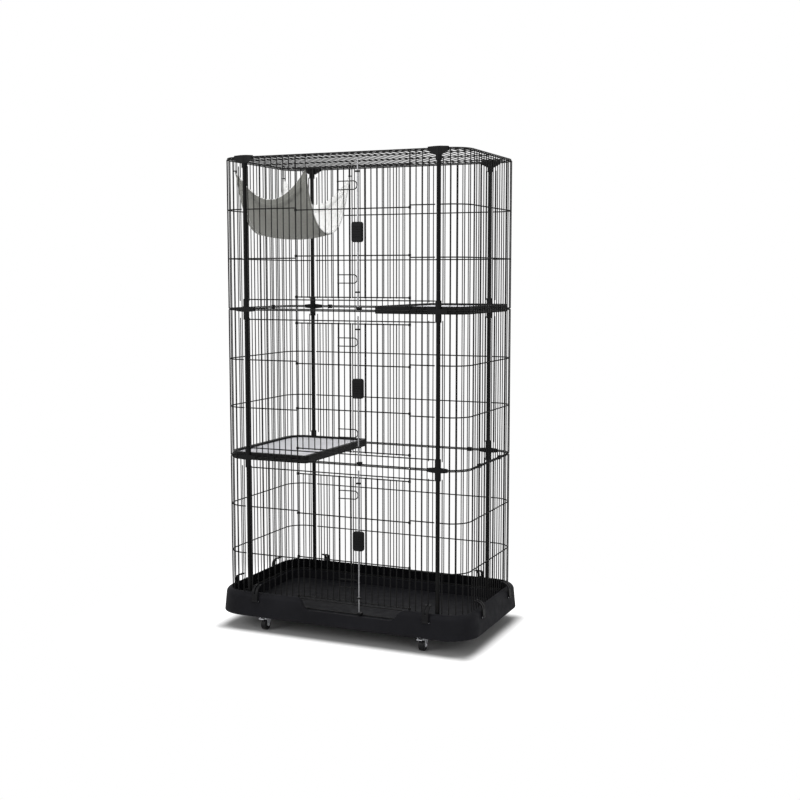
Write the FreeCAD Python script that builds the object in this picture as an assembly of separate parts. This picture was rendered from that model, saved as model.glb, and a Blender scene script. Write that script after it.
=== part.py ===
import FreeCAD, Part
import math
import os

from FreeCAD import Vector

# Three-tier wire cat cage on a castored tray, in millimetres.
# Floor at z = 0, +X to the right, +Y to the back, +Z up, origin under the middle of the four posts.

# Posts and tiers
post_spacing_x = 700.0
post_spacing_y = 481.0
post_d = 14.0
post_wall = 1.5
tier_pitch = 505.0
tiers = ("lower", "middle", "upper")

# Wire walls, measured on the centre line of their rails
wall_width = 883.0
wall_depth = 491.0
corner_r = 67.0
wire_d = 3.4
rail_d = 4.0
jamb_d = 4.6
wire_pitch = 22.3
weld_sink = 0.5
sill_rise = 33.5
mid_rail_offset = 82.0
wire_overhang = 5.0

# Doorway and doors
doorway_left = -155.0
doorway_width = 409.0
door_wires = 9
door_rail_drop = 43.0
door_mid_offset = 75.0
door_overhang = 3.0
eye_wall = 1.9
eye_height = 8.0
hook_rise = 150.0
hook_height = 27.0
hook_bend_r = 12.0
hook_setback = 5.0
hook_reach = 21.0

# Sliding latches
latch_rod_d = 5.0
latch_rod_stand_off = 0.6
latch_rod_head_drop = 17.0
latch_travel = 7.0
latch_rest_gap = 2.0
grip_width = 38.0
grip_height = 65.0
grip_depth = 13.0
grip_edge_r = 3.0
grip_corner_r = 8.0
grip_groove = 2.0
grip_groove_pitch = 8.0
grip_grooves = 5
guide_width = 14.0
guide_height = 5.0
guide_wall = 2.5
guide_inset = 17.0
keeper_foot = 5.0
keeper_spare = 0.5
keeper_tail = 8.0
keeper_wall = 2.5

# Post connectors and roof caps
sleeve_wall = 2.7
sleeve_height = 70.0
arm_length = 34.0
arm_wall = 1.5
arm_gusset = 2.5
cap_skirt = 33.0
cap_cover = 2.5
cap_crown = 1.5
cap_gusset = 12.0
clip_width = 14.0
clip_wall = 2.5
side_clip_gap = 4
back_clip_gap = 12

# Tray
skirt_clearance = 55.0
tray_height = 80.0
lip_height = 38.0
basin_depth = 30.0
tray_wall = 3.0
tray_taper = 8.0
lip_offset = 5.5
lip_thickness = 18.0
lip_r = 18.0
skirt_edge_r = 2.0
ledge_width = 15.5
dip_left = -158.0
dip_right = 246.0
dip_depth = 36.0
dip_slope = 58.0

# Tray clips
tray_clip_width = 22.0
tray_clip_thickness = 4.0
tray_clip_rise = 2.0
tray_clip_curl_r = 24.0
tray_clip_curl_end = 100.0
tray_clip_slot = 5.0
left_clip_wire = 7
right_clip_wire = 3
back_clip_wire = 14
side_clip_wire = 6
tray_clip_pin_d = 3.0
tray_clip_boss_r = 3.5
tray_clip_drop = 26.0
lug_thickness = 3.5

# Casters
caster_x = 295.0
caster_y = 205.0
caster_trail = 24.0
wheel_d = 40.0
wheel_width = 18.0
wheel_crown = 2.0
axle_d = 5.0
fork_sheet = 2.5
fork_boss_r = 7.0
socket_r = 19.0
socket_plate = 4.0
kingpin_d = 8.0
kingpin_head_r = 6.5
kingpin_head = 2.5
fork_drop = 1.0
brake_pin_d = 4.0
brake_boss_r = 5.0
brake_reach = 17.0
brake_pad = 3.0
brake_back = 15.0
brake_rise = 24.0

# Shelves
shelf_width = 312.0
shelf_rise = 16.0
shelf_recess = 7.0
shelf_depth = 25.0
shelf_rim = 14.0
shelf_plate = 4.0
mat_thickness = 4.5
free_corner_r = 18.0
tab_width = 14.0
tab_thickness = 3.0
side_tab_gap = 2
back_tab_gaps = (7, 10)
right_tab_gaps = (0, 1)
left_tab_gaps = (1, 4)

# Hammock
hammock_left_wire = 18
hammock_right_wire = 6
hammock_front = -215.0
hammock_back = 120.0
hammock_drop = 42.0
hammock_end_sag = 96.0
hammock_side_sag = 201.0
hammock_flatten = 0.8
hammock_cloth = 4.0
hook_ring_r = 4.0
hook_wire_r = 1.2
button_r = 7.0
button_thickness = 3.0

# Roof
roof_cross_rods = (-150.0, 0.0, 150.0)

# Clearances
fit_gap = 0.3
seat_gap = 0.3
stack_gap = 0.4
running_fit = 0.1
slot_gap = 1.0
wire_clear = 1.0

# Places that follow from the sizes above
post_r = post_d / 2
post_x = post_spacing_x / 2
post_y = post_spacing_y / 2
half_x = wall_width / 2
half_y = wall_depth / 2
bend_x = half_x - corner_r
bend_y = half_y - corner_r
wire_r = wire_d / 2
rail_r = rail_d / 2
jamb_r = jamb_d / 2
wire_out = rail_r + wire_r - weld_sink
wire_face = wire_out + wire_r
sleeve_r = post_r + fit_gap + sleeve_wall
rail_end = sleeve_r + fit_gap
tray_top = skirt_clearance + tray_height
base_z = tray_top - lip_height
floor_top = base_z - basin_depth
roof_z = base_z + tier_pitch * len(tiers)
end_rail = rail_r + stack_gap / 2
stack_half = rail_d + stack_gap / 2
tier_middle = tier_pitch / 2
doorway_right = doorway_left + doorway_width
latch_x = doorway_right - (door_wires - 1) * wire_pitch
latch_rod_r = latch_rod_d / 2
latch_rod_out = wire_face + latch_rod_stand_off + latch_rod_r
arm_half_depth = rail_r + slot_gap + arm_wall
slot_half = stack_half + seat_gap
arm_half_height = slot_half + arm_wall
lip_outer = lip_offset + lip_thickness
post_places = [(sx * post_x, sy * post_y, sy) for sy in (-1, 1) for sx in (-1, 1)]

os.makedirs("parts", exist_ok=True)


def rod(start, end, diameter):
    """Straight round rod between two points."""
    run = end.sub(start)
    return Part.makeCylinder(diameter / 2, run.Length, start, run)


def upright(x, y, low, high, diameter):
    """Vertical rod."""
    return rod(Vector(x, y, low), Vector(x, y, high), diameter)


def block(x0, x1, y0, y1, z0, z1):
    """Box between two corners."""
    return Part.makeBox(x1 - x0, y1 - y0, z1 - z0, Vector(x0, y0, z0))


def disc(radius, x, y, low, high):
    """Vertical solid cylinder."""
    return Part.makeCylinder(radius, high - low, Vector(x, y, low))


def fused(shapes):
    """One welded or moulded piece."""
    return shapes[0].multiFuse(shapes[1:])


def bent_rod(edges, start, direction, diameter):
    """Round rod along straight runs and arcs."""
    circle = Part.Circle(start, direction, diameter / 2)
    section = Part.Wire([circle.toShape()])
    return Part.Wire(edges).makePipeShell([section], True, False)


def arc(centre_x, centre_y, z, radius, first, last):
    """Level arc between two angles in degrees."""
    circle = Part.Circle(Vector(centre_x, centre_y, z), Vector(0, 0, 1), radius)
    return Part.ArcOfCircle(circle, math.radians(first), math.radians(last)).toShape()


def line(start, end):
    """Straight edge."""
    return Part.LineSegment(start, end).toShape()


def rounded_outline(x0, x1, y0, y1, z, left_r, right_r):
    """Closed level outline of a rectangle with rounded corners."""
    corners = (
        (x1 - right_r, y1 - right_r, right_r, 0),
        (x0 + left_r, y1 - left_r, left_r, 90),
        (x0 + left_r, y0 + left_r, left_r, 180),
        (x1 - right_r, y0 + right_r, right_r, 270),
    )
    arcs = [arc(x, y, z, radius, first, first + 90) for x, y, radius, first in corners]
    edges = []
    for number, bend in enumerate(arcs):
        following = arcs[(number + 1) % len(arcs)]
        edges.append(bend)
        edges.append(line(bend.Vertexes[1].Point, following.Vertexes[0].Point))
    return Part.Wire(edges)


def rounded_plate(x0, x1, y0, y1, z0, z1, left_r, right_r):
    """Upright-sided plate with rounded corners."""
    outline = rounded_outline(x0, x1, y0, y1, z0, left_r, right_r)
    return Part.Face(outline).extrude(Vector(0, 0, z1 - z0))


def wall_outline(offset, z):
    """Outline at a distance outside the wire walls."""
    x = half_x + offset
    y = half_y + offset
    return rounded_outline(-x, x, -y, y, z, corner_r + offset, corner_r + offset)


def wall_frustum(low_offset, low, high_offset, high):
    """Solid between two such outlines."""
    outlines = [wall_outline(low_offset, low), wall_outline(high_offset, high)]
    return Part.makeLoft(outlines, True, True)


def on_wall(shape, side, along):
    """Puts a shape made for a front wall at y = 0 onto one of the four walls."""
    sides = ("front", "right", "back", "left")
    reach = half_y if side in ("front", "back") else half_x
    placed = shape.translated(Vector(along, -reach, 0))
    return placed.rotated(Vector(0, 0, 0), Vector(0, 0, 1), 90 * sides.index(side))


def save(name, shapes):
    """Writes one node."""
    Part.makeCompound(shapes).exportStep("parts/" + name + ".step")


def skirt_face(z):
    """Distance of the tray's sloping outside from the wire walls."""
    return lip_outer + tray_taper * (tray_top - z) / tray_height


# Tray clips: pivots on the tray's outside, each in line with a wire of the wall
pivot_z = tray_top - tray_clip_drop
pivot_out = skirt_face(pivot_z - tray_clip_boss_r) + fit_gap * 2 + tray_clip_boss_r
clip_places = (
    ("front_left", "front", doorway_left - left_clip_wire * wire_pitch),
    ("front_right", "front", doorway_right + right_clip_wire * wire_pitch),
    ("back_left", "back", back_clip_wire * wire_pitch),
    ("back_right", "back", -back_clip_wire * wire_pitch),
    ("left_front", "left", side_clip_wire * wire_pitch),
    ("left_back", "left", -side_clip_wire * wire_pitch),
    ("right_front", "right", -side_clip_wire * wire_pitch),
    ("right_back", "right", side_clip_wire * wire_pitch),
)


def clip_pin(length, diameter):
    """Pivot pin of a tray clip."""
    start = Vector(-length / 2, -pivot_out, pivot_z)
    end = Vector(length / 2, -pivot_out, pivot_z)
    return rod(start, end, diameter)


def clip_lugs():
    """Two ears on the tray that hold a clip's pin."""
    inner = tray_clip_width / 2 + fit_gap
    root = skirt_face(pivot_z) - tray_wall / 2
    tip = pivot_out + tray_clip_boss_r
    low = pivot_z - tray_clip_boss_r
    high = pivot_z + tray_clip_boss_r
    ears = [block(inner, inner + lug_thickness, -tip, -root, low, high)]
    ears.append(block(-inner - lug_thickness, -inner, -tip, -root, low, high))
    bore = clip_pin(tray_clip_width + 4 * lug_thickness, tray_clip_pin_d + 2 * running_fit)
    return [ear.cut(bore) for ear in ears]


def s_bend(x0, z0, x1, z1):
    """Two equal arcs that leave level and arrive level."""
    run = x1 - x0
    drop = z0 - z1
    radius = (run ** 2 + drop ** 2) / (4 * abs(drop))
    half_turn_angle = math.asin(run / 2 / radius) / 2
    step_x = radius * math.sin(half_turn_angle)
    step_z = math.copysign(radius * (1 - math.cos(half_turn_angle)), drop)
    middle = Vector((x0 + x1) / 2, 0, (z0 + z1) / 2)
    first = Part.Arc(Vector(x0, 0, z0), Vector(x0 + step_x, 0, z0 - step_z), middle)
    second = Part.Arc(middle, Vector(x1 - step_x, 0, z1 + step_z), Vector(x1, 0, z1))
    return [first.toShape(), second.toShape()]


def front_dip():
    """Cut that lowers the front lip under the doors."""
    dip_z = tray_top - dip_depth
    low_left = dip_left + dip_slope
    low_right = dip_right - dip_slope
    edges = s_bend(dip_left, tray_top, low_left, dip_z)
    edges.append(line(Vector(low_left, 0, dip_z), Vector(low_right, 0, dip_z)))
    edges.extend(s_bend(low_right, dip_z, dip_right, tray_top))
    edges.append(line(Vector(dip_right, 0, tray_top), Vector(dip_left, 0, tray_top)))
    profile = Part.Face(Part.Wire(edges))
    profile.translate(Vector(0, -half_y - lip_offset, 0))
    return profile.extrude(Vector(0, -2 * (lip_thickness + tray_taper), 0))


def rim_edges(solid, z):
    """Level edges of a solid at one height."""
    boxes = [(edge, edge.BoundBox) for edge in solid.Edges]
    return [edge for edge, box in boxes if abs(box.ZMin - z) < fit_gap and abs(box.ZMax - z) < fit_gap]


def base_tray():
    """Moulded tray: sloping skirt, ledge for the walls, and a sunk basin with a low front lip."""
    foot = lip_outer + tray_taper
    under_ledge = base_z - tray_wall
    basin_out = tray_wall - ledge_width
    outer = wall_frustum(foot, skirt_clearance, lip_outer, tray_top)
    outer = outer.makeFillet(lip_r, rim_edges(outer, tray_top))
    outer = outer.makeFillet(skirt_edge_r, rim_edges(outer, skirt_clearance))
    upper = wall_frustum(skirt_face(base_z) - tray_wall, base_z, lip_offset, tray_top)
    basin = wall_frustum(-ledge_width, floor_top, -ledge_width, base_z)
    basin_block = wall_frustum(basin_out, floor_top - tray_wall, basin_out, base_z)
    under_top = skirt_face(under_ledge) - tray_wall
    under = wall_frustum(foot - tray_wall, skirt_clearance, under_top, under_ledge)
    tray = outer.cut([upper, basin, under.cut(basin_block), front_dip()])
    lugs = []
    for _, side, along in clip_places:
        lugs.extend(on_wall(lug, side, along) for lug in clip_lugs())
    return fused([tray] + lugs)


def tray_clip():
    """Lever that turns on its pin, leans along the skirt and curls in over the lip, forked round a wire."""
    lean = math.atan2(tray_taper, tray_height)
    curl_end = math.radians(tray_clip_curl_end)
    rise = tray_top + tray_clip_rise - pivot_z
    bend_out = pivot_out - rise * math.tan(lean)
    bend = Vector(0, -bend_out, pivot_z + rise)
    centre = bend.add(Vector(0, math.cos(lean), -math.sin(lean)) * tray_clip_curl_r)

    def curl(radius, angle):
        """Point of the curl at an angle from the upright."""
        return centre.add(Vector(0, -radius * math.cos(angle), radius * math.sin(angle)))

    outer_r = tray_clip_curl_r + tray_clip_thickness / 2
    inner_r = tray_clip_curl_r - tray_clip_thickness / 2
    middle = (lean + curl_end) / 2
    run = Vector(0, -rise * math.tan(lean), -rise)
    outer_foot = curl(outer_r, lean).add(run)
    inner_foot = curl(inner_r, lean).add(run)
    edges = [
        line(outer_foot, curl(outer_r, lean)),
        Part.Arc(curl(outer_r, lean), curl(outer_r, middle), curl(outer_r, curl_end)).toShape(),
        line(curl(outer_r, curl_end), curl(inner_r, curl_end)),
        Part.Arc(curl(inner_r, curl_end), curl(inner_r, middle), curl(inner_r, lean)).toShape(),
        line(curl(inner_r, lean), inner_foot),
        line(inner_foot, outer_foot),
    ]
    half = tray_clip_width / 2
    lever = Part.Face(Part.Wire(edges)).extrude(Vector(tray_clip_width, 0, 0))
    lever.translate(Vector(-half, 0, 0))
    slot_x = tray_clip_slot / 2
    slot_low = tray_top + tray_clip_rise - tray_clip_thickness
    slot_high = slot_low + 2 * tray_clip_curl_r
    slot = block(-slot_x, slot_x, -pivot_out, pivot_out, slot_low, slot_high)
    boss = clip_pin(tray_clip_width, 2 * tray_clip_boss_r)
    bore = clip_pin(2 * tray_clip_width, tray_clip_pin_d + 2 * running_fit)
    return fused([lever, boss]).cut([bore, slot])


save("base_tray", [base_tray()])
for place, side, along in clip_places:
    save("tray_clip_" + place, [on_wall(tray_clip(), side, along)])
pin_length = tray_clip_width + 2 * fit_gap + 2 * lug_thickness
clip_pins = [on_wall(clip_pin(pin_length, tray_clip_pin_d), side, along) for _, side, along in clip_places]
save("tray_clip_pins", clip_pins)

# Casters: a socket with a kingpin under the tray, a turning fork, a wheel, and foot brakes in front
socket_top = floor_top - tray_wall
socket_low = socket_top - socket_plate
plate_top = socket_low - fork_drop
plate_low = plate_top - fork_sheet
wheel_r = wheel_d / 2
cheek_in = wheel_width / 2 + 2 * fit_gap
cheek_out = cheek_in + fork_sheet
brake_y = -caster_trail - brake_back
brake_z = wheel_r + brake_rise


def caster_socket():
    """Plate under the tray with a headed kingpin."""
    head_top = plate_low - fit_gap
    plate = disc(socket_r, 0, 0, socket_low, socket_top)
    pin = disc(kingpin_d / 2, 0, 0, head_top - kingpin_head, socket_low)
    head = disc(kingpin_head_r, 0, 0, head_top - kingpin_head, head_top)
    return fused([plate, pin, head])


def cheek(x0, with_brake):
    """One side sheet of a fork, from the top plate down to the axle."""
    front = kingpin_head_r + fork_sheet
    back = -caster_trail - fork_boss_r
    outline = [
        Vector(x0, front, plate_low), Vector(x0, -caster_trail + fork_boss_r, wheel_r),
        Vector(x0, back, wheel_r), Vector(x0, back, plate_low), Vector(x0, front, plate_low)]
    sheet = Part.Face(Part.makePolygon(outline)).extrude(Vector(fork_sheet, 0, 0))
    start = Vector(x0, -caster_trail, wheel_r)
    pieces = [sheet, rod(start, start.add(Vector(fork_sheet, 0, 0)), 2 * fork_boss_r)]
    if with_brake:
        pin = Vector(x0, brake_y, brake_z)
        pieces.append(rod(pin, pin.add(Vector(fork_sheet, 0, 0)), 2 * brake_boss_r))
        low = brake_z - brake_boss_r
        pieces.append(block(x0, x0 + fork_sheet, brake_y, -caster_trail, low, plate_low))
    return fused(pieces)


def caster_fork(with_brake):
    """Pressed fork with its riveted axle."""
    front = kingpin_head_r + fork_sheet
    back = -caster_trail - fork_boss_r
    plate = block(-cheek_out, cheek_out, back, front, plate_low, plate_top)
    plate = fused([plate, disc(cheek_out, 0, 0, plate_low, plate_top)])
    hole = disc(kingpin_d / 2 + fit_gap, 0, 0, plate_low - fork_sheet, plate_top + fork_sheet)
    axle = rod(Vector(-cheek_out - fork_sheet / 2, -caster_trail, wheel_r),
               Vector(cheek_out + fork_sheet / 2, -caster_trail, wheel_r), axle_d)
    cheeks = [cheek(cheek_in, with_brake), cheek(-cheek_out, with_brake)]
    fork = fused([plate.cut(hole), axle] + cheeks)
    if with_brake:
        bore = rod(Vector(-2 * cheek_out, brake_y, brake_z), Vector(2 * cheek_out, brake_y, brake_z),
                   brake_pin_d + 2 * running_fit)
        fork = fork.cut(bore)
    return fork


def caster_wheel():
    """Wheel with a slightly rounded tread and a running bore."""
    half = wheel_width / 2
    tread = rod(Vector(-half, -caster_trail, wheel_r), Vector(half, -caster_trail, wheel_r), wheel_d)
    rims = [edge for edge in tread.Edges if abs(edge.Length - math.pi * wheel_d) < 1e-3]
    tread = tread.makeFillet(wheel_crown, rims)
    bore = rod(Vector(-wheel_width, -caster_trail, wheel_r), Vector(wheel_width, -caster_trail, wheel_r),
               axle_d + 2 * running_fit)
    return tread.cut(bore)


def caster_brake():
    """Foot lever on its own pin behind the wheel."""
    half = cheek_in - fit_gap
    boss_d = 2 * (brake_boss_r - fit_gap)
    boss = rod(Vector(-half, brake_y, brake_z), Vector(half, brake_y, brake_z), boss_d)
    pin = rod(Vector(-cheek_out, brake_y, brake_z), Vector(cheek_out, brake_y, brake_z), brake_pin_d)
    pad_low = brake_z - brake_pad / 2
    pad = block(-half, half, brake_y - brake_reach, brake_y, pad_low, pad_low + brake_pad)
    return fused([boss, pin, pad])


caster_places = []
for front_or_back, y in (("front", -caster_y), ("back", caster_y)):
    for left_or_right, x in (("left", -caster_x), ("right", caster_x)):
        caster_places.append((front_or_back + "_" + left_or_right, Vector(x, y, 0)))
save("caster_sockets", [caster_socket().translated(place) for _, place in caster_places])
for name, place in caster_places:
    has_brake = name.startswith("front")
    save("caster_fork_" + name, [caster_fork(has_brake).translated(place)])
    save("caster_wheel_" + name, [caster_wheel().translated(place)])
    if has_brake:
        save("caster_brake_" + name, [caster_brake().translated(place)])


def tier_posts(low):
    """The four tube posts of one tier."""
    tubes = []
    for x, y, _ in post_places:
        tube = disc(post_r, x, y, low, low + tier_pitch)
        tubes.append(tube.cut(disc(post_r - post_wall, x, y, low, low + tier_pitch)))
    return tubes


def rail_slots(x, wall_y, low, high):
    """Slots in a connector's two arms for the ends of the wall rails."""
    depth = rail_r + slot_gap
    far = arm_length + slot_gap
    slots = [block(x + sleeve_r, x + far, wall_y - depth, wall_y + depth, low, high)]
    slots.append(block(x - far, x - sleeve_r, wall_y - depth, wall_y + depth, low, high))
    return slots


def gusset_arms(x, wall_y, tops, lows):
    """Two arms along a wall, given their heights at the sleeve and at their ends."""
    front = wall_y - arm_half_depth
    root_top, end_top = tops
    root_low, end_low = lows
    outline = [
        Vector(x - arm_length, front, end_top), Vector(x - sleeve_r, front, root_top),
        Vector(x + sleeve_r, front, root_top), Vector(x + arm_length, front, end_top),
        Vector(x + arm_length, front, end_low), Vector(x + sleeve_r, front, root_low),
        Vector(x - sleeve_r, front, root_low), Vector(x - arm_length, front, end_low)]
    profile = Part.Face(Part.makePolygon(outline + outline[:1]))
    return profile.extrude(Vector(0, 2 * arm_half_depth, 0))


def connector(x, y, sy, level):
    """Sleeve over a post joint, with two arms that clasp the rails of the walls."""
    wall_y = sy * half_y
    root = arm_half_height + arm_gusset
    sleeve = disc(sleeve_r, x, y, level - sleeve_height / 2, level + sleeve_height / 2)
    tops = (level + root, level + arm_half_height)
    lows = (level - root, level - arm_half_height)
    arms = gusset_arms(x, wall_y, tops, lows)
    bore = disc(post_r + fit_gap, x, y, level - sleeve_height, level + sleeve_height)
    return fused([sleeve, arms]).cut([bore] + rail_slots(x, wall_y, level - slot_half, level + slot_half))


def roof_cap(x, y, sy):
    """Cap on a post's top, with two arms over the roof's frame."""
    wall_y = sy * half_y
    end_top = roof_z + slot_half + cap_cover
    top = end_top + cap_crown
    end_low = roof_z - arm_half_height
    sleeve = disc(sleeve_r, x, y, roof_z - cap_skirt, top)
    arms = gusset_arms(x, wall_y, (top, end_top), (end_low - cap_gusset, end_low))
    bore = disc(post_r + fit_gap, x, y, roof_z - tier_pitch, roof_z)
    depth = rail_r + slot_gap
    far = arm_length + slot_gap
    ring_slot = block(x - far, x + far, wall_y - depth, wall_y + depth, roof_z, roof_z + slot_half)
    return fused([sleeve, arms]).cut([bore, ring_slot] + rail_slots(x, wall_y, roof_z - slot_half, roof_z))


for number, tier in enumerate(tiers):
    save(tier + "_posts", tier_posts(base_z + number * tier_pitch))
for number, name in ((1, "lower_connectors"), (2, "upper_connectors")):
    level = base_z + number * tier_pitch
    save(name, [connector(x, y, sy, level) for x, y, sy in post_places])
save("roof_caps", [roof_cap(x, y, sy) for x, y, sy in post_places])

# Heights of the wall rails within a tier, and of the sill and lintel rails of the front
end_rails = (end_rail, tier_pitch - end_rail)
wall_rails = end_rails + (tier_middle - mid_rail_offset, tier_middle + mid_rail_offset)
sill_z = sill_rise
lintel_z = tier_pitch - sill_rise
arm_zone = arm_length + wire_r + wire_clear


def wall_wire(x, y, angle):
    """Vertical wire welded to the outside of the rails, cut short where a connector's arm passes."""
    low = end_rail
    if abs(abs(x) - post_x) < arm_zone and abs(y) > bend_y:
        low = sill_rise - wire_overhang
    out_x = x + wire_out * math.cos(angle)
    out_y = y + wire_out * math.sin(angle)
    return upright(out_x, out_y, low, tier_pitch - low, wire_d)


def side_point(run):
    """Point and outward angle on the right wall, at a run along it from its middle."""
    sign = 1 if run >= 0 else -1
    length = abs(run)
    bend = corner_r * math.pi / 2
    if length <= bend_y:
        return half_x, run, 0.0
    if length <= bend_y + bend:
        turn = (length - bend_y) / corner_r
        return bend_x + corner_r * math.cos(turn), sign * (bend_y + corner_r * math.sin(turn)), sign * turn
    return bend_x - (length - bend_y - bend), sign * half_y, sign * math.pi / 2


def side_rail(z):
    """Rail of the right wall, bent round both corners from post to post."""
    end_x = post_x + rail_end
    start = Vector(end_x, -half_y, z)
    edges = [
        line(start, Vector(bend_x, -half_y, z)),
        arc(bend_x, -bend_y, z, corner_r, -90, 0),
        line(Vector(half_x, -bend_y, z), Vector(half_x, bend_y, z)),
        arc(bend_x, bend_y, z, corner_r, 0, 90),
        line(Vector(bend_x, half_y, z), Vector(end_x, half_y, z)),
    ]
    return bent_rod(edges, start, Vector(1, 0, 0), rail_d)


def side_panel():
    """Right-hand grille of one tier, standing on z = 0."""
    length = bend_y + corner_r * math.pi / 2 + bend_x - post_x - rail_end - wire_r
    count = int(length / wire_pitch)
    wires = [wall_wire(*side_point(step * wire_pitch)) for step in range(-count, count + 1)]
    return fused([side_rail(z) for z in wall_rails] + wires)


def back_panel():
    """Back grille of one tier, standing on z = 0."""
    end_x = post_x - rail_end
    rails = [rod(Vector(-end_x, half_y, z), Vector(end_x, half_y, z), rail_d) for z in wall_rails]
    count = int((end_x - wire_r) / wire_pitch)
    wires = [wall_wire(step * wire_pitch, half_y, math.pi / 2) for step in range(-count, count + 1)]
    return fused(rails + wires)


def front_grille(jamb_x, side, cross_rails):
    """Fixed grille between a jamb of the doorway and the post beside it."""
    end_x = side * (post_x - rail_end)
    rails = []
    for z in wall_rails + cross_rails:
        rails.append(rod(Vector(jamb_x, -half_y, z), Vector(end_x, -half_y, z), rail_d))
    count = int((abs(end_x - jamb_x) - wire_r) / wire_pitch)
    runs = [side * step * wire_pitch for step in range(1, count + 1)]
    wires = [wall_wire(jamb_x + run, -half_y, -math.pi / 2) for run in runs]
    jamb = upright(jamb_x, -half_y, end_rail, tier_pitch - end_rail, jamb_d)
    return fused(rails + wires + [jamb])


def front_panel(cross_rails):
    """Front of one tier: two grilles, with rods between the jambs above and below the doors."""
    low_x = doorway_left + jamb_r + fit_gap / 2
    high_x = doorway_right - jamb_r - fit_gap / 2
    pieces = [front_grille(doorway_left, -1, cross_rails), front_grille(doorway_right, 1, cross_rails)]
    for z in end_rails + cross_rails:
        pieces.append(rod(Vector(low_x, -half_y, z), Vector(high_x, -half_y, z), rail_d))
    return pieces


# Doors: hinged on the jambs by eyes, with vertical wires outside their rails
door_rails = (
    door_rail_drop,
    tier_middle - door_mid_offset,
    tier_middle + door_mid_offset,
    tier_pitch - door_rail_drop,
)
door_wire_y = -half_y - wire_out
eye_bore_r = jamb_r + running_fit
eye_r = eye_bore_r + eye_wall


def door_leaf(hinge_x, side):
    """Rails with hinge eyes, and the vertical wires, of one leaf."""
    edge_x = hinge_x + side * door_wires * wire_pitch
    root_x = hinge_x + side * (eye_bore_r + eye_wall / 2)
    pieces = []
    for z in door_rails:
        eye = disc(eye_r, hinge_x, -half_y, z - eye_height / 2, z + eye_height / 2)
        rail = rod(Vector(root_x, -half_y, z), Vector(edge_x + side * wire_r, -half_y, z), rail_d)
        pieces.extend([eye, rail])
    low = door_rails[0] - door_overhang
    high = door_rails[-1] + door_overhang
    for step in range(1, door_wires + 1):
        pieces.append(upright(hinge_x + side * step * wire_pitch, door_wire_y, low, high, wire_d))
    return pieces


def eye_bore(hinge_x):
    """Hole through all the eyes of a leaf."""
    return disc(eye_bore_r, hinge_x, -half_y, 0, tier_pitch)


def stop_hook(z):
    """Wire loop on the left leaf that reaches behind the edge of the right leaf."""
    root = Vector(doorway_left + (door_wires - 2) * wire_pitch, door_wire_y + wire_d - weld_sink, z)
    tip = Vector(doorway_left + door_wires * wire_pitch + hook_reach, root.y + hook_setback, z)
    along = tip.sub(root).normalize()
    rise = hook_height / 2
    corner = hook_bend_r * (1 - math.sqrt(0.5))

    def hook_point(back, up):
        """Point at a distance back from the tip, and up or down from the loop's middle."""
        return tip.sub(along * back).add(Vector(0, 0, up))

    length = tip.sub(root).Length + wire_d
    start = hook_point(length, rise)
    high_bend = [hook_point(hook_bend_r, rise), hook_point(corner, rise - corner)]
    high_bend.append(hook_point(0, rise - hook_bend_r))
    low_bend = [hook_point(0, hook_bend_r - rise), hook_point(corner, corner - rise)]
    low_bend.append(hook_point(hook_bend_r, -rise))
    edges = [
        line(start, high_bend[0]),
        Part.Arc(*high_bend).toShape(),
        line(high_bend[-1], low_bend[0]),
        Part.Arc(*low_bend).toShape(),
        line(low_bend[-1], hook_point(length, -rise)),
    ]
    return bent_rod(edges, start, along, wire_d)


def left_door():
    """Left leaf with its two stop hooks."""
    hooks = [stop_hook(tier_middle + rise) for rise in (-hook_rise, hook_rise)]
    return fused(door_leaf(doorway_left, 1) + hooks).cut(eye_bore(doorway_left))


latch_y = -half_y - latch_rod_out
keeper_top = keeper_foot + latch_travel - latch_rest_gap + keeper_spare
latch_rod_foot = keeper_top + latch_rest_gap
latch_rod_head = tier_pitch - latch_rod_head_drop


def latch_guide(z):
    """Block on the right leaf that the latch rod slides through."""
    front = latch_y - latch_rod_r - fit_gap - guide_wall
    guide = block(latch_x - guide_width / 2, latch_x + guide_width / 2, front, door_wire_y + weld_sink,
                  z - guide_height / 2, z + guide_height / 2)
    bore = disc(latch_rod_r + fit_gap, latch_x, latch_y, z - guide_height, z + guide_height)
    return guide.cut(bore)


def right_door():
    """Right leaf with the two guides of its latch."""
    low = door_rails[0] + guide_inset
    high = door_rails[-1] - guide_inset
    guides = [latch_guide(low), latch_guide(high)]
    return fused(door_leaf(doorway_right, -1) + guides).cut(eye_bore(doorway_right))


def latch_rod():
    """Long bolt that slides down into its keeper."""
    return upright(latch_x, latch_y, latch_rod_foot, latch_rod_head, latch_rod_d)


def latch_grip():
    """Finger block on the bolt, with grooves to push it by."""
    back = -half_y - wire_face - latch_rod_stand_off
    face = back - grip_depth
    low = tier_middle - grip_height / 2
    high = tier_middle + grip_height / 2
    body = block(latch_x - grip_width / 2, latch_x + grip_width / 2, face, back, low, high)
    middle = back - grip_depth / 2
    corners = [edge for edge in body.Edges if edge.BoundBox.YLength > grip_depth / 2]
    body = body.makeFillet(grip_corner_r, corners)
    front_edges = [edge for edge in body.Edges if edge.BoundBox.YMax < middle]
    body = body.makeFillet(grip_edge_r, front_edges)
    grooves = []
    for step in range(grip_grooves):
        z = tier_middle + (step - (grip_grooves - 1) / 2) * grip_groove_pitch
        start = Vector(latch_x - grip_width, face, z)
        grooves.append(rod(start, start.add(Vector(2 * grip_width, 0, 0)), grip_groove))
    bore = disc(latch_rod_r + running_fit, latch_x, latch_y, low - grip_depth, high + grip_depth)
    return body.cut(grooves + [bore])


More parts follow.
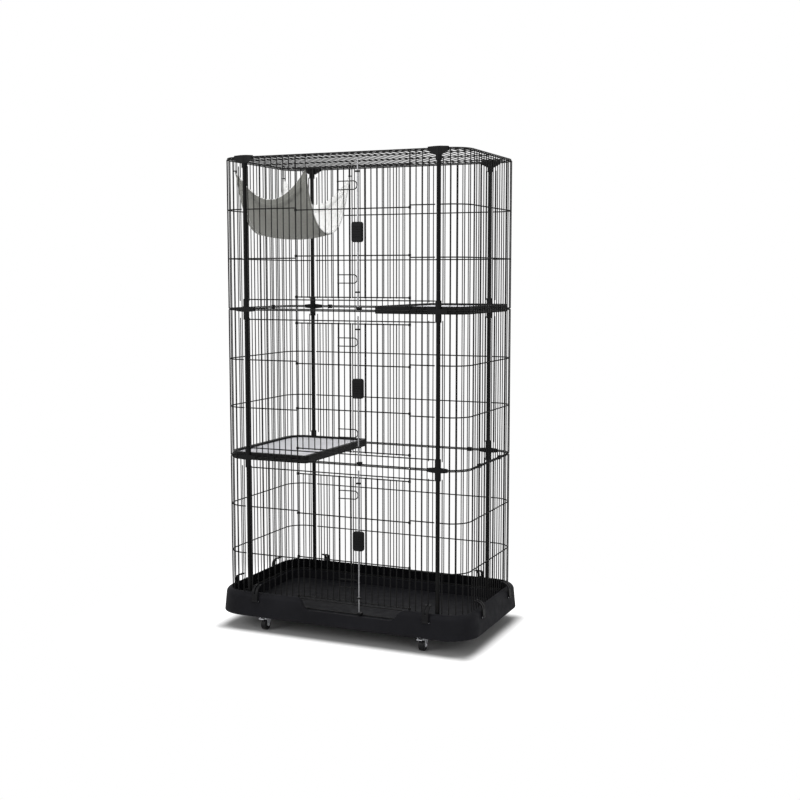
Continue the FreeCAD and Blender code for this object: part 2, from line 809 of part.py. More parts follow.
def latch_keeper():
    """Saddle on the tier's bottom rail, with the hole that takes the bolt."""
    x0 = latch_x - latch_rod_r - fit_gap - keeper_wall
    x1 = latch_x + keeper_tail
    front = latch_y - latch_rod_r - fit_gap - keeper_wall
    depth = rail_r + fit_gap
    nose = block(x0, x1, front, -half_y, keeper_foot, keeper_top)
    outside = depth + keeper_wall
    saddle = block(x0, x1, -half_y - outside, -half_y + outside, 2 * seat_gap, keeper_top)
    slot = block(x0 - keeper_wall, x1 + keeper_wall, -half_y - depth, -half_y + depth, 0, end_rail + depth)
    hole = disc(latch_rod_r + fit_gap, latch_x, latch_y, 0, keeper_top + keeper_foot)
    return fused([nose, saddle]).cut([slot, hole])


tier_pieces = (
    ("_right_panel", [side_panel()]),
    ("_left_panel", [side_panel().rotated(Vector(0, 0, 0), Vector(0, 0, 1), 180)]),
    ("_back_panel", [back_panel()]),
    ("_left_door", [left_door()]),
    ("_right_door", [right_door()]),
    ("_latch_rod", [latch_rod()]),
    ("_latch_grip", [latch_grip()]),
)
for number, tier in enumerate(tiers):
    lift = Vector(0, 0, base_z + number * tier_pitch)
    for name, shapes in tier_pieces:
        save(tier + name, [shape.translated(lift) for shape in shapes])
    cross_rails = (sill_z,) if tier == tiers[-1] else (sill_z, lintel_z)
    save(tier + "_front_panel", [shape.translated(lift) for shape in front_panel(cross_rails)])
keeper_lifts = [Vector(0, 0, base_z + number * tier_pitch) for number in range(len(tiers))]
save("latch_keepers", [latch_keeper().translated(lift) for lift in keeper_lifts])


def panel_clip(level):
    """Clip that holds the touching rails of two tiers together, made for a front wall at y = 0."""
    reach = rail_r + seat_gap
    jaw = stack_half + seat_gap
    half = clip_width / 2
    body = block(-half, half, -reach, reach + clip_wall, level - jaw - clip_wall, level + jaw + clip_wall)
    return body.cut(block(-clip_width, clip_width, -2 * reach, reach, level - jaw, level + jaw))


def gap_middle(number):
    """Distance from a wire to the middle of the gap with this number beside it."""
    return (number + 0.5) * wire_pitch


joint_levels = [base_z + number * tier_pitch for number in (1, 2)]
side_clip_run = gap_middle(side_clip_gap)
back_clip_run = gap_middle(back_clip_gap)
panel_clips = []
for level in joint_levels:
    for run in (-1, 1):
        panel_clips.append(on_wall(panel_clip(level), "left", run * side_clip_run))
        panel_clips.append(on_wall(panel_clip(level), "right", run * side_clip_run))
        panel_clips.append(on_wall(panel_clip(level), "back", run * back_clip_run))
save("panel_clips", panel_clips)


def roof_panel():
    """Wire roof: a ring over the walls, close wires from front to back, and cross rods under them."""
    z = roof_z + end_rail
    start = Vector(0, -half_y, z)
    edges = [
        line(start, Vector(bend_x, -half_y, z)),
        arc(bend_x, -bend_y, z, corner_r, -90, 0),
        line(Vector(half_x, -bend_y, z), Vector(half_x, bend_y, z)),
        arc(bend_x, bend_y, z, corner_r, 0, 90),
        line(Vector(bend_x, half_y, z), Vector(-bend_x, half_y, z)),
        arc(-bend_x, bend_y, z, corner_r, 90, 180),
        line(Vector(-half_x, bend_y, z), Vector(-half_x, -bend_y, z)),
        arc(-bend_x, -bend_y, z, corner_r, 180, 270),
        line(Vector(-bend_x, -half_y, z), start),
    ]
    pieces = [bent_rod(edges, start, Vector(1, 0, 0), rail_d)]
    count = int((half_x - wire_pitch / 2) / wire_pitch)
    for step in range(-count, count + 1):
        x = step * wire_pitch
        past = max(0.0, abs(x) - bend_x)
        end_y = bend_y + math.sqrt(corner_r ** 2 - past ** 2)
        if abs(abs(x) - post_x) < arm_zone:
            end_y = post_y - sleeve_r - wire_clear
        pieces.append(rod(Vector(x, -end_y, z), Vector(x, end_y, z), wire_d))
    under = z - wire_d + weld_sink
    for y in roof_cross_rods:
        pieces.append(rod(Vector(-half_x + rail_d, y, under), Vector(half_x - rail_d, y, under), wire_d))
    return fused(pieces)


save("roof_panel", [roof_panel()])

# Shelves: moulded rims that hang on the wall rails by tabs, each with a pale panel let into its top
shelf_edge = half_x - rail_r - seat_gap - clip_wall - slot_gap
shelf_free = shelf_edge - shelf_width
shelf_half = half_y - arm_half_depth - slot_gap / 2
shelf_corner_r = corner_r - arm_half_depth


def shelf_outline(inset, low, high):
    """Plate of the right-hand shelf's plan, drawn in from its edge."""
    x0 = shelf_free + inset
    x1 = shelf_edge - inset
    y = shelf_half - inset
    return rounded_plate(x0, x1, -y, y, low, high, free_corner_r - inset, shelf_corner_r - inset)


def shelf_tab(level, reach):
    """Tab over the upper of two touching rails, made for a front wall at y = 0."""
    low = level + stack_half + seat_gap
    return block(-tab_width / 2, tab_width / 2, -rail_r, reach, low, low + tab_thickness)


def shelf(level, front_tabs, back_tabs):
    """Right-hand shelf, with its tabs placed between the wires of the three walls it hangs on."""
    top = level + shelf_rise
    low = top - shelf_depth
    seat = top - shelf_recess - mat_thickness
    body = shelf_outline(0, low, top)
    body = body.cut(shelf_outline(shelf_rim, seat, top))
    body = body.cut(shelf_outline(shelf_plate, low, seat - shelf_plate))
    tab = shelf_tab(level, half_y - shelf_half + shelf_plate)
    tabs = [on_wall(tab, "front", x) for x in front_tabs]
    tabs.extend(on_wall(tab, "back", -x) for x in back_tabs)
    tabs.extend(on_wall(tab, "right", sign * gap_middle(side_tab_gap)) for sign in (-1, 1))
    notches = [disc(sleeve_r + slot_gap, post_x, sy * post_y, low, top) for sy in (-1, 1)]
    return fused([body] + tabs).cut(notches)


def shelf_mat(level):
    """Pale panel let into a shelf, below its rim."""
    top = level + shelf_rise - shelf_recess
    return shelf_outline(shelf_rim + fit_gap, top - mat_thickness, top)


def half_turn(shape):
    """The same piece on the other side of the cage."""
    return shape.rotated(Vector(0, 0, 0), Vector(0, 0, 1), 180)


lower_level, upper_level = joint_levels
back_wall_tabs = [gap_middle(gap) for gap in back_tab_gaps]
right_grille_tabs = [doorway_right + gap_middle(gap) for gap in right_tab_gaps]
left_grille_tabs = [gap_middle(gap) - doorway_left for gap in left_tab_gaps]
save("upper_shelf", [shelf(upper_level, right_grille_tabs, back_wall_tabs)])
save("lower_shelf", [half_turn(shelf(lower_level, back_wall_tabs, left_grille_tabs))])
save("shelf_mats", [half_turn(shelf_mat(lower_level)), shelf_mat(upper_level)])

# Hammock: a sagging cloth under the roof's left end, hung by four hooks on the roof wires
hang_z = roof_z - hammock_drop
hang_left = -hammock_left_wire * wire_pitch
hang_right = -hammock_right_wire * wire_pitch


# Control points of the cloth, a parabola across and two cubic curves along: shares of its width with
# the share of the middle's sag there, and shares of its length with the share of the sides' sag there
across_degree = 2
across_knots = (0, 1)
across_ends = (across_degree + 1, across_degree + 1)
across_poles = ((0, 0), (1 / 2, 2), (1, 0))
along_degree = 3
along_knots = (0, 1 / 2, 1)
along_ends = (along_degree + 1, 1, along_degree + 1)
along_poles = ((0, 0), (1 / 6, 1), (1 / 2, 1), (5 / 6, 1), (1, 0))


def hammock_pole(across, middle_sag, along, side_sag):
    """Control point of the sagging cloth."""
    sag = hammock_end_sag * middle_sag * (1 - hammock_flatten * side_sag) + hammock_side_sag * side_sag
    x = hang_left + across * (hang_right - hang_left)
    y = hammock_front + along * (hammock_back - hammock_front)
    return Vector(x, y, hang_z - sag)


def hammock():
    """Cloth as a closed sheet of even drop."""
    poles = [[hammock_pole(*across, *along) for along in along_poles] for across in across_poles]
    surface = Part.BSplineSurface()
    surface.buildFromPolesMultsKnots(poles, across_ends, along_ends, across_knots, along_knots,
                                     False, False, across_degree, along_degree)
    return surface.toShape().extrude(Vector(0, 0, -hammock_cloth))


def hammock_hook(x, y):
    """Ring over a roof wire, a shank, and a button on the cloth's corner."""
    wire_z = roof_z + end_rail
    ring_z = wire_z + wire_r + fit_gap - (hook_ring_r - hook_wire_r)
    ring = Part.makeTorus(hook_ring_r, hook_wire_r, Vector(x, y, ring_z), Vector(0, 1, 0))
    low = hang_z + fit_gap
    shank = disc(hook_wire_r, x, y, low + button_thickness / 2, ring_z - hook_ring_r)
    button = disc(button_r, x, y, low, low + button_thickness)
    return fused([ring, shank, button])


save("hammock", [hammock()])
corners = [(x, y) for x in (hang_left, hang_right) for y in (hammock_front, hammock_back)]
save("hammock_hooks", [hammock_hook(x, y) for x, y in corners])
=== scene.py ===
import math

import bpy
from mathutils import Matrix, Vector


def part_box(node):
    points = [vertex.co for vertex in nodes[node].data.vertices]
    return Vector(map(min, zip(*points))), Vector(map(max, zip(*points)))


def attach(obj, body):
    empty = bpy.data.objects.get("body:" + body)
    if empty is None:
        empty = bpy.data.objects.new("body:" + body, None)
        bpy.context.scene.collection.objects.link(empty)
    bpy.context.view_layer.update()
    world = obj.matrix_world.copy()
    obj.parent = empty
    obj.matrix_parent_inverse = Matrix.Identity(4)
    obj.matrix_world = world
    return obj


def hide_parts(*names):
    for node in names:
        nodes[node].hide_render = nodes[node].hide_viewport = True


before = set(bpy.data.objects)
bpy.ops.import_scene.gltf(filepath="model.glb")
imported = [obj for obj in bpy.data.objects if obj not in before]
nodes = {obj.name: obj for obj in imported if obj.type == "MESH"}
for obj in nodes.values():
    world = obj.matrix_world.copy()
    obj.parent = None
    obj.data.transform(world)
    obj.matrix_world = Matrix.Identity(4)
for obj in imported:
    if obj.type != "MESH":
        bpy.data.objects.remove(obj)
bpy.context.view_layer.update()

# Tray: one black polypropylene moulding with a fine eroded grain, a rounded lip and a sunk basin.
# The wire walls stand on its ledge, and the lip dips under the doors.
mottle_low = 0.3
mottle_high = 0.7


def start_finish(name, coordinates):
    """New finish with its shader and the coordinates that its patterns follow."""
    finish = bpy.data.materials.new(name)
    finish.use_nodes = True
    tree = finish.node_tree
    place = tree.nodes.new("ShaderNodeTexCoord")
    return finish, tree, tree.nodes["Principled BSDF"], place.outputs[coordinates]


def mottle(tree, place, scale, detail):
    """Soft random pattern, with its scale in cells for each metre."""
    noise = tree.nodes.new("ShaderNodeTexNoise")
    noise.inputs["Scale"].default_value = scale
    noise.inputs["Detail"].default_value = detail
    tree.links.new(place, noise.inputs["Vector"])
    return noise.outputs["Fac"]


def map_range(tree, value, start, end, low, high):
    """Node whose result runs from low to high while a value runs from start to end."""
    spread = tree.nodes.new("ShaderNodeMapRange")
    spread.inputs["From Min"].default_value = start
    spread.inputs["From Max"].default_value = end
    spread.inputs["To Min"].default_value = low
    spread.inputs["To Max"].default_value = high
    tree.links.new(value, spread.inputs["Value"])
    return spread


def tint(tree, shader, pattern, dark, light):
    """Base colour that drifts between two shades."""
    ramp = tree.nodes.new("ShaderNodeValToRGB")
    ramp.color_ramp.elements[0].color = (*dark, 1)
    ramp.color_ramp.elements[1].color = (*light, 1)
    ramp.color_ramp.elements[0].position = mottle_low
    ramp.color_ramp.elements[1].position = mottle_high
    tree.links.new(pattern, ramp.inputs["Fac"])
    tree.links.new(ramp.outputs["Color"], shader.inputs["Base Color"])


def gloss(tree, shader, pattern, smooth, rough):
    """Roughness that drifts between two values."""
    spread = map_range(tree, pattern, mottle_low, mottle_high, smooth, rough)
    tree.links.new(spread.outputs["Result"], shader.inputs["Roughness"])


def relief(tree, shader, pattern, strength, depth):
    """Surface relief of a given depth in metres."""
    bump = tree.nodes.new("ShaderNodeBump")
    bump.inputs["Strength"].default_value = strength
    bump.inputs["Distance"].default_value = depth
    tree.links.new(pattern, bump.inputs["Height"])
    tree.links.new(bump.outputs["Normal"], shader.inputs["Normal"])


def moulded(name, dark, light, smooth, rough, grain, shine):
    """Grained moulded plastic with faint flow marks."""
    finish, tree, shader, place = start_finish(name, "Object")
    flow_marks = mottle(tree, place, scale=7.0, detail=5.0)
    handling = mottle(tree, place, scale=40.0, detail=4.0)
    fine_grain = mottle(tree, place, scale=grain, detail=2.0)
    tint(tree, shader, flow_marks, dark, light)
    gloss(tree, shader, handling, smooth, rough)
    relief(tree, shader, fine_grain, strength=0.5, depth=0.0003)
    shader.inputs["Specular IOR Level"].default_value = shine
    return finish


def dress(names, finish):
    """Gives a finish to pieces of the frame."""
    for name in names:
        nodes[name].data.materials.clear()
        nodes[name].data.materials.append(finish)


tray_dark = (0.0060, 0.0060, 0.0074)
tray_light = (0.0100, 0.0100, 0.0122)
tray_black = moulded("tray_black", tray_dark, tray_light, smooth=0.58, rough=0.72, grain=900.0, shine=0.08)
dress(["base_tray"], tray_black)

# Casters: pressed forks and foot brakes in bright zinc plate, with black nylon wheels between the
# cheeks. Each fork turns on the headed kingpin of a round plate under the tray, and each axle is
# peened over at both ends.


def plated(name, dark, light, smooth, rough, metal):
    """Zinc plate with its crystal mottle and fine draw marks."""
    finish, tree, shader, place = start_finish(name, "Object")
    crystals = tree.nodes.new("ShaderNodeTexVoronoi")
    crystals.inputs["Scale"].default_value = 240.0
    tree.links.new(place, crystals.inputs["Vector"])
    handling = mottle(tree, place, scale=160.0, detail=3.0)
    draw_marks = mottle(tree, place, scale=1200.0, detail=2.0)
    tint(tree, shader, crystals.outputs["Distance"], dark, light)
    gloss(tree, shader, handling, smooth, rough)
    relief(tree, shader, draw_marks, strength=0.2, depth=0.0001)
    shader.inputs["Metallic"].default_value = metal
    return finish


def bead_tree(name, finish):
    """Node tree that puts a round bead on every point of a mesh."""
    tree = bpy.data.node_groups.new(name, "GeometryNodeTree")
    tree.interface.new_socket("Points", in_out="INPUT", socket_type="NodeSocketGeometry")
    radius = tree.interface.new_socket("Bead radius", in_out="INPUT", socket_type="NodeSocketFloat")
    tree.interface.new_socket("Beads", in_out="OUTPUT", socket_type="NodeSocketGeometry")
    inlet = tree.nodes.new("NodeGroupInput")
    ball = tree.nodes.new("GeometryNodeMeshIcoSphere")
    smooth = tree.nodes.new("GeometryNodeSetShadeSmooth")
    spread = tree.nodes.new("GeometryNodeInstanceOnPoints")
    joined = tree.nodes.new("GeometryNodeRealizeInstances")
    coat = tree.nodes.new("GeometryNodeSetMaterial")
    outlet = tree.nodes.new("NodeGroupOutput")
    ball.inputs["Subdivisions"].default_value = 2
    coat.inputs["Material"].default_value = finish
    tree.links.new(inlet.outputs["Bead radius"], ball.inputs["Radius"])
    tree.links.new(ball.outputs["Mesh"], smooth.inputs["Geometry"])
    tree.links.new(inlet.outputs["Points"], spread.inputs["Points"])
    tree.links.new(smooth.outputs["Geometry"], spread.inputs["Instance"])
    tree.links.new(spread.outputs["Instances"], joined.inputs["Geometry"])
    tree.links.new(joined.outputs["Geometry"], coat.inputs["Geometry"])
    tree.links.new(coat.outputs["Geometry"], outlet.inputs["Beads"])
    return tree, radius.identifier


def new_piece(name, points, edges, faces):
    """Object with its own mesh, at the origin."""
    mesh = bpy.data.meshes.new(name)
    mesh.from_pydata(points, edges, faces)
    piece = bpy.data.objects.new(name, mesh)
    bpy.context.scene.collection.objects.link(piece)
    return piece


def settle(piece):
    """Turns a piece with its modifiers into a plain mesh."""
    seen = piece.evaluated_get(bpy.context.evaluated_depsgraph_get())
    finished = bpy.data.meshes.new_from_object(seen)
    finished.name = piece.name
    piece.modifiers.clear()
    piece.data = finished


def beads(name, points, radius, tree_and_input, body):
    """Beads of one body as a single piece."""
    tree, radius_input = tree_and_input
    piece = new_piece(name, points, [], [])
    spread = piece.modifiers.new("beads", "NODES")
    spread.node_group = tree
    spread[radius_input] = radius
    settle(piece)
    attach(piece, body)


zinc_dark = (0.52, 0.53, 0.56)
zinc_light = (0.70, 0.71, 0.73)
zinc_plate = plated("zinc_plate", zinc_dark, zinc_light, smooth=0.26, rough=0.42, metal=0.55)
wheel_dark = (0.006, 0.006, 0.007)
wheel_light = (0.011, 0.011, 0.012)
wheel_black = moulded(
    "wheel_black", wheel_dark, wheel_light, smooth=0.40, rough=0.54, grain=700.0, shine=0.15
)
corners = ("front_left", "front_right", "back_left", "back_right")
dress(["caster_fork_" + corner for corner in corners], zinc_plate)
dress(["caster_wheel_" + corner for corner in corners], wheel_black)
dress(["caster_brake_front_left", "caster_brake_front_right", "caster_sockets"], zinc_plate)
axle_head_r = 0.0036
axle_head_sunk = 0.6 * axle_head_r
axle_tree = bead_tree("axle_heads", zinc_plate)
for corner in corners:
    fork_low, fork_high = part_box("caster_fork_" + corner)
    wheel_low, wheel_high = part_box("caster_wheel_" + corner)
    axle = (wheel_low + wheel_high) / 2
    ends = [(x, axle.y, axle.z) for x in (fork_low.x + axle_head_sunk, fork_high.x - axle_head_sunk)]
    beads("axle_heads_" + corner, ends, axle_head_r, axle_tree, "fork_" + corner)

# Tray clips: forked nylon levers on steel pins between two lugs of the tray. They lean along the
# skirt and curl in over the lip, astride a wire of the wall.
fitting_dark = (0.0040, 0.0040, 0.0044)
fitting_light = (0.0075, 0.0075, 0.0080)
fitting_black = moulded(
    "fitting_black", fitting_dark, fitting_light, smooth=0.40, rough=0.54, grain=1400.0, shine=0.10
)
clip_sides = ("left_front", "left_back", "right_front", "right_back")
dress(["tray_clip_" + place for place in corners + clip_sides], fitting_black)
dress(["tray_clip_pins"], zinc_plate)

# Posts: steel tubes in black powder coat, pushed into moulded nylon sleeves at the joints between
# the tiers and under caps at the roof. The arms of the sleeves clasp the rails of the walls.
tiers = ("lower", "middle", "upper")


def powder_coat(name, dark, light, smooth, rough, shine):
    """Baked powder coat with its fine orange peel."""
    finish, tree, shader, place = start_finish(name, "Object")
    thickness = mottle(tree, place, scale=30.0, detail=3.0)
    handling = mottle(tree, place, scale=220.0, detail=3.0)
    orange_peel = mottle(tree, place, scale=1600.0, detail=1.0)
    tint(tree, shader, thickness, dark, light)
    gloss(tree, shader, handling, smooth, rough)
    relief(tree, shader, orange_peel, strength=0.35, depth=0.0002)
    shader.inputs["Specular IOR Level"].default_value = shine
    return finish


post_dark = (0.0028, 0.0028, 0.0028)
post_light = (0.0052, 0.0052, 0.0052)
post_coat = powder_coat("post_coat", post_dark, post_light, smooth=0.34, rough=0.48, shine=0.10)
dress([tier + "_posts" for tier in tiers], post_coat)
dress(["lower_connectors", "upper_connectors", "roof_caps"], fitting_black)

# Wire walls and roof: drawn steel wire laid over rails, resistance welded at each crossing and given
# a black powder coat, under which the welds show as small round nuggets. Nylon clips hold the rails
# of two tiers together, and nylon keepers on the rails take the bolts.
wire_dark = (0.0032, 0.0032, 0.0032)
wire_light = (0.0065, 0.0065, 0.0065)
wire_coat = powder_coat("wire_coat", wire_dark, wire_light, smooth=0.34, rough=0.50, shine=0.14)
for tier in tiers:
    dress([tier + "_" + side + "_panel" for side in ("front", "left", "right", "back")], wire_coat)
dress(["roof_panel"], wire_coat)
dress(["panel_clips", "latch_keepers"], fitting_black)
tier_pitch = 0.505
wire_pitch = 0.0223
post_x = 0.350
bend_r = 0.067
end_rail = 0.0022
mid_rails = (0.1705, 0.3345)
sill_rise = 0.0335
arm_zone = 0.0367
weld_r = 0.0021
weld_out = 0.00175
base_z = 0.097
half_x = 0.4415
half_y = 0.2455
bend_x = half_x - bend_r
bend_y = half_y - bend_r
doorway_left = -0.155
doorway_right = 0.254
front_wires = {doorway_left: (-1, 8), doorway_right: (1, 3)}
side_wires = 13
back_wires = 15


def side_place(run):
    """Point and outward angle on the right-hand wall, at a run along it from its middle."""
    sign = math.copysign(1, run)
    past = abs(run) - bend_y
    if past <= 0:
        return half_x, run, 0.0
    turn = min(past / bend_r, math.pi / 2)
    left_over = past - turn * bend_r
    x = bend_x + bend_r * math.cos(turn) - left_over
    return x, sign * (bend_y + bend_r * math.sin(turn)), sign * turn


def wire_welds(x, y, angle, rails):
    """Weld spots of one wall wire, in one tier that stands on z = 0."""
    beside_post = abs(abs(x) - post_x) < arm_zone and abs(y) > bend_y
    heights = [z for z in rails if not beside_post or sill_rise <= z <= tier_pitch - sill_rise]
    return [(x + weld_out * math.cos(angle), y + weld_out * math.sin(angle), z) for z in heights]


wall_rails = (end_rail, *mid_rails, tier_pitch - end_rail)
tier_welds = []
for step in range(-side_wires, side_wires + 1):
    x, y, angle = side_place(step * wire_pitch)
    tier_welds += wire_welds(x, y, angle, wall_rails)
    tier_welds += wire_welds(-x, -y, angle + math.pi, wall_rails)
for step in range(-back_wires, back_wires + 1):
    tier_welds += wire_welds(step * wire_pitch, half_y, math.pi / 2, wall_rails)
for jamb, (side, count) in front_wires.items():
    for step in range(1, count + 1):
        tier_welds += wire_welds(jamb + side * step * wire_pitch, -half_y, -math.pi / 2, wall_rails)
cage_welds = []
for number in range(len(tiers)):
    lift = base_z + number * tier_pitch
    cage_welds += [(x, y, z + lift) for x, y, z in tier_welds]
weld_tree = bead_tree("weld_nuggets", wire_coat)
beads("wall_welds", cage_welds, weld_r, weld_tree, "cage")

# Doors: two leaves of the same welded wire for each doorway, hung on the jamb wires by eyes. Each
# left-hand leaf carries two bent wire hooks that stop it against the right-hand one.
for tier in tiers:
    dress([tier + "_left_door", tier + "_right_door"], wire_coat)
door_wires = 9
door_rails = (0.043, 0.1775, 0.3275, 0.462)
for number, tier in enumerate(tiers):
    for name, hinge, side in (("left", doorway_left, 1), ("right", doorway_right, -1)):
        spots = []
        for step in range(1, door_wires + 1):
            x = hinge + side * step * wire_pitch
            spots += [(x, -half_y - weld_out, base_z + number * tier_pitch + z) for z in door_rails]
        leaf = tier + "_" + name
        beads(leaf + "_door_welds", spots, weld_r, weld_tree, leaf + "_leaf")

# Bolts: plated steel rods that slide in guides on the right-hand doors, with black finger grips
# pressed onto them.
bolt_dark = (0.24, 0.24, 0.25)
bolt_light = (0.33, 0.33, 0.34)
bolt_steel = plated("bolt_steel", bolt_dark, bolt_light, smooth=0.24, rough=0.38, metal=1.0)
dress([tier + "_latch_rod" for tier in tiers], bolt_steel)
dress([tier + "_latch_grip" for tier in tiers], fitting_black)

# Shelves: moulded black trays with tabs that hang on the wall rails between the wires, each with a
# pale plastic panel let in below its rim.
shelf_dark = (0.0048, 0.0048, 0.0052)
shelf_light = (0.0088, 0.0088, 0.0092)
shelf_black = moulded(
    "shelf_black", shelf_dark, shelf_light, smooth=0.44, rough=0.58, grain=1000.0, shine=0.12
)
dress(["lower_shelf", "upper_shelf"], shelf_black)
panel_dark = (0.70, 0.70, 0.74)
panel_light = (0.79, 0.79, 0.83)
panel_pale = moulded("panel_pale", panel_dark, panel_light, smooth=0.38, rough=0.52, grain=500.0, shine=0.4)
dress(["shelf_mats"], panel_pale)

# Hammock: one piece of canvas, grey outside and white inside, hung by its four corners from hooks
# on the roof wires so that it sags into a deep pocket, with a folded hem sewn all round.
hammock_low, hammock_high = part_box("hammock")
end_sag = 0.096
side_sag = 0.201
side_share = 0.8
fullness = 3
across_count = 36
along_count = 48
cloth_wide = 0.29
cloth_long = 0.49
cloth_thickness = 0.0022
thread_pitch = 0.0016
# The wave pattern lays its bands this far apart at a scale of 1.
wave_period = 2 * math.pi / 20


def hammock_point(across, along):
    """Point of the hanging cloth at shares of its width and length."""
    side = 4 * across * (1 - across)
    length = 1 - abs(2 * along - 1) ** fullness
    sag = end_sag * side * (1 - side_share * length) + side_sag * length
    x = hammock_low.x + across * (hammock_high.x - hammock_low.x)
    y = hammock_low.y + along * (hammock_high.y - hammock_low.y)
    return Vector((x, y, hammock_high.z - sag))


def canvas(name, dark, light):
    """Plain-woven canvas, with its threads laid along the cloth's own map."""
    finish, tree, shader, place = start_finish(name, "UV")
    threads = tree.nodes.new("ShaderNodeMath")
    threads.operation = "ADD"
    for number, direction in enumerate(("X", "Y")):
        thread = tree.nodes.new("ShaderNodeTexWave")
        thread.bands_direction = direction
        thread.inputs["Scale"].default_value = wave_period / thread_pitch
        thread.inputs["Distortion"].default_value = 0.6
        tree.links.new(place, thread.inputs["Vector"])
        tree.links.new(thread.outputs["Fac"], threads.inputs[number])
    dye = mottle(tree, place, scale=120.0, detail=5.0)
    tint(tree, shader, dye, dark, light)
    relief(tree, shader, threads.outputs["Value"], strength=0.5, depth=0.0004)
    shader.inputs["Roughness"].default_value = 0.9
    shader.inputs["Specular IOR Level"].default_value = 0.2
    shader.inputs["Sheen Weight"].default_value = 0.15
    return finish


canvas_white = canvas("canvas_white", (0.90, 0.90, 0.89), (0.96, 0.96, 0.95))
canvas_grey = canvas("canvas_grey", (0.280, 0.280, 0.257), (0.330, 0.330, 0.303))
points = []
for step_along in range(along_count + 1):
    for step_across in range(across_count + 1):
        points.append(hammock_point(step_across / across_count, step_along / along_count))
row = across_count + 1
faces = []
for step_along in range(along_count):
    for step_across in range(across_count):
        first = step_along * row + step_across
        faces.append((first, first + 1, first + row + 1, first + row))
cloth = new_piece("hammock_cloth", points, [], faces)


def lay_threads(piece, grid_places):
    """Map of a piece's cloth in metres, from each point's place in the grid."""
    weave = piece.data.uv_layers.new(name="weave")
    for loop in piece.data.loops:
        step_along, step_across = divmod(grid_places[loop.vertex_index], row)
        across = step_across / across_count * cloth_wide
        weave.data[loop.index].uv = (across, step_along / along_count * cloth_long)


lay_threads(cloth, range(len(points)))
hung_corners = [0, across_count, along_count * row, along_count * row + across_count]
cloth.vertex_groups.new(name="corners").add(hung_corners, 1.0, "REPLACE")
drape = cloth.modifiers.new("drape", "CLOTH")
drape.settings.quality = 8
drape.settings.mass = 0.2
drape.settings.tension_stiffness = 40
drape.settings.compression_stiffness = 40
drape.settings.shear_stiffness = 20
drape.settings.bending_stiffness = 8
drape.settings.vertex_group_mass = "corners"
drape.settings.effector_weights.gravity = 0.35
drape.collision_settings.use_collision = False
drape_steps = 24
drape_limit = 0.003
for step in range(1, drape_steps + 1):
    bpy.context.scene.frame_set(step)
hung = cloth.evaluated_get(bpy.context.evaluated_depsgraph_get()).data
moves = [after.co - before.co for after, before in zip(hung.vertices, cloth.data.vertices)]
cloth.modifiers.remove(drape)
for vertex, move in zip(cloth.data.vertices, moves):
    if move.length > drape_limit:
        move *= drape_limit / move.length
    vertex.co += move
bpy.context.scene.frame_set(1)
hung_points = [vertex.co.copy() for vertex in cloth.data.vertices]


def thicken(piece, thickness):
    """Gives a sheet its thickness, white on top and grey below."""
    piece.data.materials.append(canvas_white)
    piece.data.materials.append(canvas_grey)
    piece.data.polygons.foreach_set("use_smooth", [True] * len(piece.data.polygons))
    body = piece.modifiers.new("body", "SOLIDIFY")
    body.thickness = thickness
    body.offset = 0
    body.material_offset = 1
    settle(piece)


thicken(cloth, cloth_thickness)

hem_steps = 2
hem_thickness = 0.0046
hem_faces = []
for step_along in range(along_count):
    from_end = min(step_along, along_count - 1 - step_along)
    for step_across in range(across_count):
        from_side = min(step_across, across_count - 1 - step_across)
        if min(from_end, from_side) < hem_steps:
            hem_faces.append(faces[step_along * across_count + step_across])
used = sorted({index for face in hem_faces for index in face})
hem_place = {index: number for number, index in enumerate(used)}
hem_points = [hung_points[index] for index in used]
hem_faces = [[hem_place[index] for index in face] for face in hem_faces]
hem = new_piece("hammock_hem", hem_points, [], hem_faces)
lay_threads(hem, used)
thicken(hem, hem_thickness)

stitch_pitch = 0.0065
stitch_r = 0.00045
stitch_stretch = 4.5


